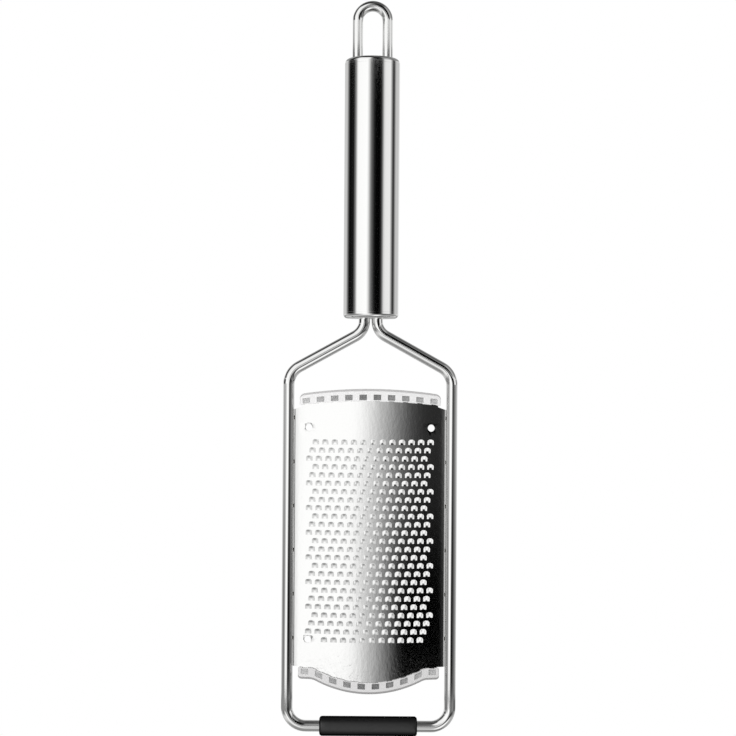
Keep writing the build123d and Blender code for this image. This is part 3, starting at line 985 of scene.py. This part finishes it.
def locator_patch(grid):
    """The plain end of the last row, with the third locator hole."""
    levels = row_levels(tooth_rows - 1)
    outline = [(x, levels[0]) for x in grid] + [(grid[-1], z) for z in levels[1:]]
    outline += [(x, levels[-1]) for x in reversed(grid[:-1])]
    outline += [(grid[0], z) for z in reversed(levels[1:-1])]
    hole, ring = locator_hole(-locator_x, last_row_z)
    found, triangles = fill_plate(outline, [hole], extra_runs=[ring])
    return sunk(found, [(-locator_x, last_row_z)]), triangles


def anchor_slot(x, z):
    """A round-ended slot that the guard's plastic runs through."""
    loop = stadium((anchor_width - anchor_height) / 2, anchor_height / 2, 6)
    return [(x + px, z + pz) for px, pz in loop]


def border_run(grid, lines, z):
    """Border points right across the sheet at one height, from left to right."""
    left = [(-s, z) for s in reversed(lines[1:])]
    return left + [(s, z) for s in grid] + [(s, z) for s in lines[1:]]


def spaced_points(low_z, high_z, holes):
    """Inner points of a margin on a loose grid, clear of its holes."""
    step, columns_beside, clearance = 2.0, 13, 0.7
    found = []
    for z in even(low_z, high_z, int((high_z - low_z) / step))[1:-1]:
        for j in range(-columns_beside, columns_beside + 1):
            point = (j * step, z)
            beside_hole = any(math.dist(point, p) <= clearance for hole in holes for p in hole[::3])
            if not beside_hole and not any(inside(point, hole) for hole in holes):
                found.append(point)
    return found


def plain_margin(grid, lines, side, near_z, edge_z, tab_z, slot_z, locators, steps, tab_steps):
    """A plain end of the sheet, from the teeth to its tab in a guard. side is 1 above them, -1 below."""
    outer = lines[1:]
    far_z = edge_z(sheet_end)
    outline = border_run(grid, lines, near_z)[::side]
    outline += [(side * sheet_end, z) for z in even(near_z, far_z, steps)[1:-1]]
    outline += [(side * s, edge_z(s)) for s in reversed(outer)]
    outline += [(side * s, tab_z(s)) for s in even(tab_half_width, -tab_half_width, tab_steps)]
    outline += [(-side * s, edge_z(s)) for s in outer]
    outline += [(-side * sheet_end, z) for z in even(far_z, near_z, steps)[1:-1]]
    holes, runs = [], []
    for place in locators:
        hole, ring = locator_hole(*place)
        holes.append(hole)
        runs.append(ring)
    holes += [anchor_slot(x, slot_z(x)) for x in window_places]
    for mirror in (-1, 1):
        runs += [[(mirror * s, z) for z in even(near_z, edge_z(s), steps)] for s in outer[1:-1]]
    inner = spaced_points(*sorted((near_z, edge_z(tab_half_width))), holes)
    found, triangles = fill_plate(outline, holes, inner, runs)
    return sunk(found, locators), triangles


def upper_margin(grid, lines):
    """The plain sheet above the teeth: locator holes, shoulders and the tab inside the upper guard."""
    shoulder_z = upper_inner_z(guard_half) - shoulder_step

    def edge_z(s):
        x = abs(on_sheet(s, 0)[0])
        return shoulder_z - shoulder_fall * (x - tab_half_width) / (blade_half_width - tab_half_width)

    return plain_margin(
        grid, lines, 1, row_middle(0) + row_pitch / 2, edge_z,
        tab_z=lambda s: upper_outer_z(s) - guard_edge_wall,
        slot_z=lambda x: upper_inner_z(x) + window_inset,
        locators=[(-locator_x, locator_z), (locator_x, locator_z)], steps=4, tab_steps=28,
    )


def lower_margin(grid, lines):
    """The plain sheet below the teeth, down to the bellied tab inside the lower guard."""
    foot_z = lower_guard_z + foot_step
    tab_level_z = lower_guard_z - lower_guard_width + guard_edge_wall
    return plain_margin(
        grid, lines, -1, row_middle(tooth_rows - 1) - row_pitch / 2, lambda s: foot_z,
        tab_z=lambda s: belly_z(s, tab_level_z), slot_z=lambda x: belly_z(x, lower_guard_z) - window_inset,
        locators=[], steps=5, tab_steps=56,
    )


def build_blade():
    """The whole sheet: cells with teeth, plain strips beside them, margins, and walls round every edge."""
    points, front, back, index, under = [], [], [], {}, {}

    def corner(s, z, lift=0.0, thickness=sheet_thickness):
        """Front and back vertex at one place of the sheet."""
        key = (round(s, 3), round(z, 3), round(lift, 3))
        if key not in index:
            index[key] = len(points)
            points.append(on_sheet(s, z, lift))
            under[index[key]] = len(points)
            points.append(on_sheet(s, z, lift - thickness))
        return index[key]

    def add(patch_points, patch_faces):
        local = [corner(*p) for p in patch_points]
        for face in patch_faces:
            new = tuple(local[i] for i in face)
            if len(set(new)) == len(new):
                front.append(new)
                back.append(tuple(under[i] for i in reversed(new)))

    def add_column(left, right, levels):
        for low, high in zip(levels, levels[1:]):
            add([(left, low), (right, low), (right, high), (left, high)], [(0, 1, 2, 3)])

    cell, cell_faces = tooth_cell()
    lines = side_lines()
    grid = [-lines[0] + cell_step * i for i in range(round(2 * lines[0] / cell_step) + 1)]
    taken = tooth_centres()
    for row, centres in enumerate(taken):
        for x in centres:
            add([(x + px, row_middle(row) + pz, lift, thick) for px, pz, lift, thick in cell], cell_faces)
    patch_right = min(taken[-1]) - column_pitch / 2
    add(*locator_patch([x for x in grid if x < patch_right + cell_step / 2]))
    for row, centres in enumerate(taken):
        levels = row_levels(row)
        for i in range(len(grid) - 1):
            x = middle(grid, i)
            in_cell = any(abs(x - centre) < column_pitch / 2 for centre in centres)
            in_patch = row == tooth_rows - 1 and x < patch_right
            if not in_cell and not in_patch:
                add_column(grid[i], grid[i + 1], levels)
        for near, far in zip(lines, lines[1:]):
            add_column(-far, -near, levels)
            add_column(near, far, levels)
    add(*upper_margin(grid, lines))
    add(*lower_margin(grid, lines))
    # Walls stand on every front edge that has a face on one side only.
    edges = {(a, b) for face in front for a, b in zip(face, face[1:] + face[:1])}
    walls = sorted((b, a, under[a], under[b]) for a, b in edges if (b, a) not in edges)
    faces = front + back + walls
    used = sorted({i for face in faces for i in face})
    renumbered = {old: new for new, old in enumerate(used)}
    points = [points[i] for i in used]
    faces = [tuple(renumbered[i] for i in face) for face in faces]
    place_piece(
        "arched_rasp_blade", points, faces, None, sheet_finish, "blade_steel", ["blade"], sharp_degrees=20,
    )


build_blade()


# End guards, as a lattice of cells: across the strip, up the strip, and four layers deep.

def guard_stations(corner_size):
    """Places across a guard where its lattice has a line: close at the round ends, about 1 mm elsewhere."""
    clear_of_others, least_gap = 0.45, 0.035
    found = set()
    for inset in (0.0, 0.06, 0.2, 0.45, 0.8, guard_end_wall - guard_fit, 1.5):
        found |= {guard_half - inset, inset - guard_half}
    for turn in even(0, 90, 5)[1:-1]:
        across = guard_half - corner_size * (1 - math.sin(math.radians(turn)))
        found |= {across, -across}
    for x in window_places:
        found |= {x - window_width / 2, x + window_width / 2, x - notch_width / 2, x + notch_width / 2}
    for i in range(-27, 28):
        if all(abs(i - other) > clear_of_others for other in found):
            found.add(float(i))
    ordered = []
    for x in sorted(found):
        if not ordered or x - ordered[-1] > least_gap:
            ordered.append(x)
    return ordered


# The sides of a cell: the way to its neighbour, and the corners of the face between them
cell_sides = [
    ((-1, 0, 0), ((0, 0, 0), (0, 0, 1), (0, 1, 1), (0, 1, 0))),
    ((1, 0, 0), ((1, 0, 0), (1, 1, 0), (1, 1, 1), (1, 0, 1))),
    ((0, -1, 0), ((0, 0, 0), (1, 0, 0), (1, 0, 1), (0, 0, 1))),
    ((0, 1, 0), ((0, 1, 0), (0, 1, 1), (1, 1, 1), (1, 1, 0))),
    ((0, 0, -1), ((0, 0, 0), (0, 1, 0), (1, 1, 0), (1, 0, 0))),
    ((0, 0, 1), ((0, 0, 1), (1, 0, 1), (1, 1, 1), (0, 1, 1))),
]


def build_guard(name, node, width, inner_z, outer_z, outer_corner, finish, rim_painted_shade_finish):
    """A milky strip over the blade's end: front lip with filmed windows, slot for the sheet, back lip, and a
    band of painted shade along its outer rim.
    """
    slot_top, slot_end = width - guard_edge_wall + guard_fit, guard_half - guard_end_wall + guard_fit
    low_window, high_window = window_inset - window_height / 2, window_inset + window_height / 2
    upward = 1 if outer_z(0) > inner_z(0) else -1
    across = guard_stations(outer_corner)
    up = [0.0, notch_depth, low_window, high_window, slot_top, width - guard_rim_shade_width]
    up += [width - 0.36, width - 0.17, width - 0.04, width]
    slot_front, slot_back = guard_lip - guard_fit, guard_lip + sheet_thickness + guard_fit
    depth = [0.0, slot_front - guard_film, slot_front, slot_back, 2 * guard_lip + sheet_thickness]
    layers = len(depth) - 1

    def near_window(i):
        return min(abs(middle(across, i) - place) for place in window_places)

    def over_window(i, j):
        return near_window(i) < window_width / 2 and low_window < middle(up, j) < high_window

    def solid(i, j, k):
        if not (0 <= i < len(across) - 1 and 0 <= j < len(up) - 1 and 0 <= k < layers):
            return False
        if k == 0 and over_window(i, j):
            return False
        if k < 2:
            return not (near_window(i) < notch_width / 2 and middle(up, j) < notch_depth)
        if k == 2:
            return abs(middle(across, i)) > slot_end or middle(up, j) > slot_top
        return True

    def set_back(gap, size):
        """How far a round of this size sets a face back, at a distance from its edge."""
        return arc_fall(max(size - gap, 0.0), size)

    def lattice(i, j, k):
        x, t, to_end = across[i], up[j], guard_half - abs(across[i])
        low = inner_z(x) + upward * set_back(to_end, inner_corner)
        high = outer_z(x) - upward * set_back(to_end, outer_corner)
        rim = guard_round_share * set_back(min(width - t, to_end), guard_round)
        deep = depth[k]
        if k == 0:
            deep += rim
        if k == layers:
            deep -= rim
        return on_sheet(x, low + (high - low) * (t / width), guard_lip - deep)

    points, index, faces, finishes = [], {}, [], []

    def vertex(*key):
        if key not in index:
            index[key] = len(points)
            points.append(lattice(*key))
        return index[key]

    for i in range(len(across) - 1):
        for j in range(len(up) - 1):
            for k in range(layers):
                if not solid(i, j, k):
                    continue
                # Faces in the band along the outer rim take the rim finish, which is painted shade.
                chosen = 1 if middle(up, j) > width - guard_rim_shade_width else 0
                if k == 1 and over_window(i, j):
                    chosen = 2
                for (di, dj, dk), corners in cell_sides:
                    if not solid(i + di, j + dj, k + dk):
                        face = tuple(vertex(i + a, j + b, k + c) for a, b, c in corners)
                        faces.append(face[::-1] if upward > 0 else face)
                        finishes.append(chosen)
    piece = place_piece(name, points, faces, None, finish, "guard_plastic", [node], sharp_degrees=50)
    piece.data.materials.append(rim_painted_shade_finish)
    piece.data.materials.append(film_finish)
    piece.data.polygons.foreach_set("material_index", finishes)
    eased = piece.modifiers.new("moulded_edges", "BEVEL")
    eased.width = guard_bevel * MM
    eased.segments = 2
    eased.limit_method = "ANGLE"
    eased.angle_limit = math.radians(50)
    # Large faces keep their own normals, so an eased edge doesn't darken the strip beside it.
    weighted = piece.modifiers.new("even_shading", "WEIGHTED_NORMAL")
    weighted.mode = "FACE_AREA"
    weighted.weight = 50
    weighted.keep_sharp = True


build_guard(
    "upper_guard_strip", "upper_end_guard", upper_guard_width, upper_inner_z, upper_outer_z, upper_corner,
    upper_guard_finish, upper_rim_painted_shade_finish,
)
build_guard(
    "lower_guard_strip", "lower_end_guard", lower_guard_width,
    lambda x: belly_z(x, lower_guard_z), lambda x: belly_z(x, lower_guard_z - lower_guard_width),
    lower_corner, lower_guard_painted_shade_finish, lower_rim_painted_shade_finish,
)


# Rubber foot

def build_foot():
    """A turned sleeve along the bottom bar."""
    half = foot_length / 2
    end = [(foot_bore, -half + foot_bore_ease), (foot_bore + foot_bore_ease, -half)]
    end += edge_arc((foot_radius - foot_edge, -half + foot_edge), foot_edge, -90, 0, 9)
    profile = end + [(foot_radius, x) for x in even(-half + foot_edge, half - foot_edge, 12)[1:-1]]
    profile += [(radius, -x) for radius, x in reversed(end)]
    points, faces, maps = lathe(profile, foot_count, axis="X")
    points = [(x, y, z + frame_bar_z) for x, y, z in points]
    place_piece("rubber_foot_sleeve", points, faces, maps, rubber_finish, "foot_rubber", ["rubber_foot"])


build_foot()


# Weld metal inside the caps and between blade and frame stays as the CAD made it
for name in ("loop_weld_beads", "frame_weld_bead", "blade_spot_welds"):
    node_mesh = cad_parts[name].data
    node_mesh.materials.clear()
    node_mesh.materials.append(weld_finish)
